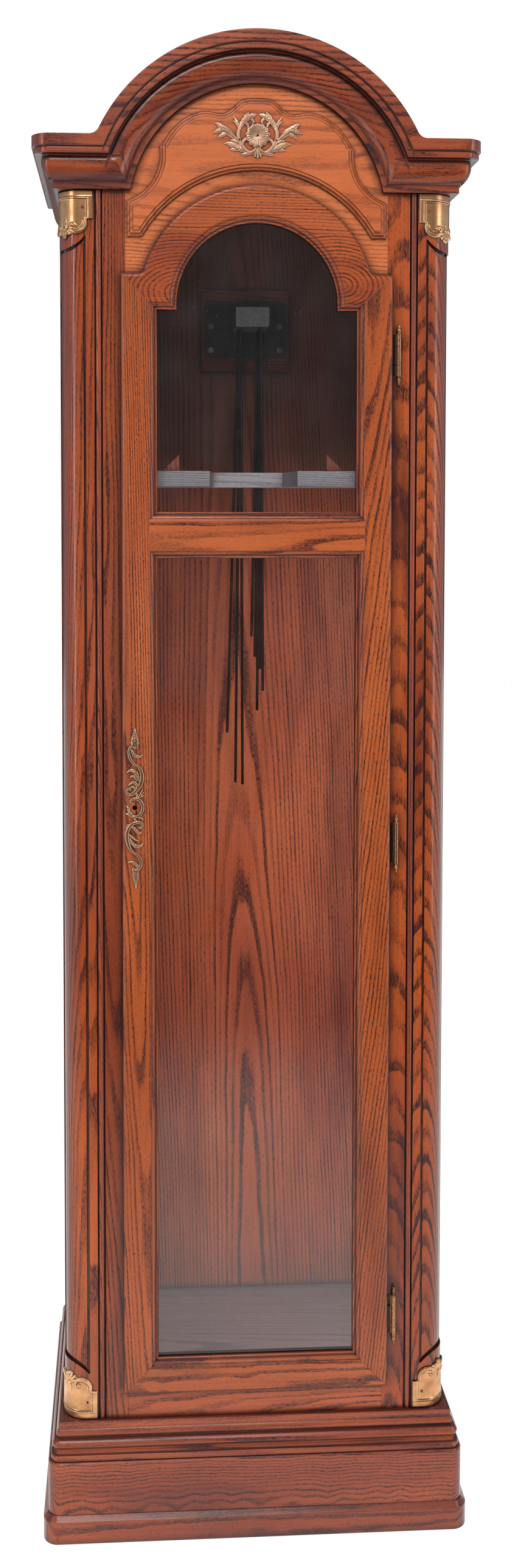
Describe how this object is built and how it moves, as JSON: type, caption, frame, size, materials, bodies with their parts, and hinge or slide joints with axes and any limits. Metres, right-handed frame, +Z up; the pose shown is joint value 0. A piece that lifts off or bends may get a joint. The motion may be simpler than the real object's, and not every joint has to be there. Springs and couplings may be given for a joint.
{
  "type": "grandfather clock case",
  "caption": "Arched-top oak longcase clock case with a full-height glazed door, brass mounts and a rod chime, without movement or dial.",
  "frame": {"origin": "on the floor, under the middle of the case's bounding box", "axes": "+Z up, -Y out of the door towards the viewer, +X to the viewer's right"},
  "size_m": [0.595, 0.3746, 2.0299],
  "materials": {
    "oak": "satin lacquered golden oak, open grain",
    "oak_veneer": "satin lacquered oak veneer",
    "plain_wood": "unfinished pine and plywood",
    "aged_brass": "antiqued brass, dark in its hollows",
    "clear_glass": "polished clear glass",
    "steel": "plain steel",
    "iron": "blackened casting",
    "retainer_plastic": "matte brown strip"
  },
  "bodies": {
    "case": {"foot_moulding_front": "oak", "foot_moulding_returns": "oak", "plinth_front": "oak", "plinth_returns": "oak", "base_cap_front": "oak", "base_cap_returns": "oak", "base_floor_board": "plain_wood", "corner_blocks": "plain_wood", "leveler_t_nuts": "steel", "corner_post_left": "oak", "corner_post_right": "oak", "post_beads": "oak", "front_stile_left": "oak", "front_stile_right": "oak", "front_bottom_rail": "oak", "header_board": "oak", "frieze_panel": "oak", "side_panel_left": "oak_veneer", "side_panel_right": "oak_veneer", "rear_stiles": "oak", "back_panel": "oak_veneer", "top_board": "oak", "crown_front_board": "oak", "crown_returns": "oak", "corner_mount_top_left": "aged_brass", "corner_mount_top_right": "aged_brass", "corner_mount_bottom_left": "aged_brass", "corner_mount_bottom_right": "aged_brass", "crest_ornament": "aged_brass", "mount_pins": "aged_brass", "hinge_case_leaves": "aged_brass", "hinge_pins": "aged_brass", "hinge_case_screws": "aged_brass", "seat_board": "plain_wood", "seat_board_cleats": "plain_wood", "seat_board_wedges": "plain_wood", "chime_board": "plain_wood", "chime_plate": "iron", "chime_block": "iron", "chime_rods": "steel", "chime_screws": "aged_brass"},
    "door": {"door_stile_left": "oak", "door_stile_right": "oak", "door_arch_rail": "oak", "door_shoulder_left": "oak", "door_shoulder_right": "oak", "door_middle_rail": "oak", "door_bottom_rail": "oak", "glass_upper": "clear_glass", "glass_lower": "clear_glass", "glass_retainers": "retainer_plastic", "hinge_door_leaves": "aged_brass", "hinge_door_screws": "aged_brass", "escutcheon": "aged_brass", "lock_body": "steel"},
    "lock_cam": {"lock_cam": "steel"},
    "leveler_front_left": {"leveler_front_left": "steel"},
    "leveler_front_right": {"leveler_front_right": "steel"},
    "leveler_rear_left": {"leveler_rear_left": "steel"},
    "leveler_rear_right": {"leveler_rear_right": "steel"}
  },
  "joints": [
    {"name": "door_hinge", "type": "hinge", "parent": "case", "child": "door", "pos_m": [0.1905, -0.15775, 0.952], "axis": [0, 0, 1], "range_deg": [0, 110]},
    {"name": "lock_turn", "type": "hinge", "parent": "door", "child": "lock_cam", "pos_m": [-0.1645, -0.13025, 1.006], "axis": [0, 1, 0], "range_deg": [0, 90]},
    {"name": "leveler_front_left_screw", "type": "slide", "parent": "case", "child": "leveler_front_left", "axis": [0, 0, -1], "range_m": [0, 0.014]},
    {"name": "leveler_front_right_screw", "type": "slide", "parent": "case", "child": "leveler_front_right", "axis": [0, 0, -1], "range_m": [0, 0.014]},
    {"name": "leveler_rear_left_screw", "type": "slide", "parent": "case", "child": "leveler_rear_left", "axis": [0, 0, -1], "range_m": [0, 0.014]},
    {"name": "leveler_rear_right_screw", "type": "slide", "parent": "case", "child": "leveler_rear_right", "axis": [0, 0, -1], "range_m": [0, 0.014]}
  ]
}
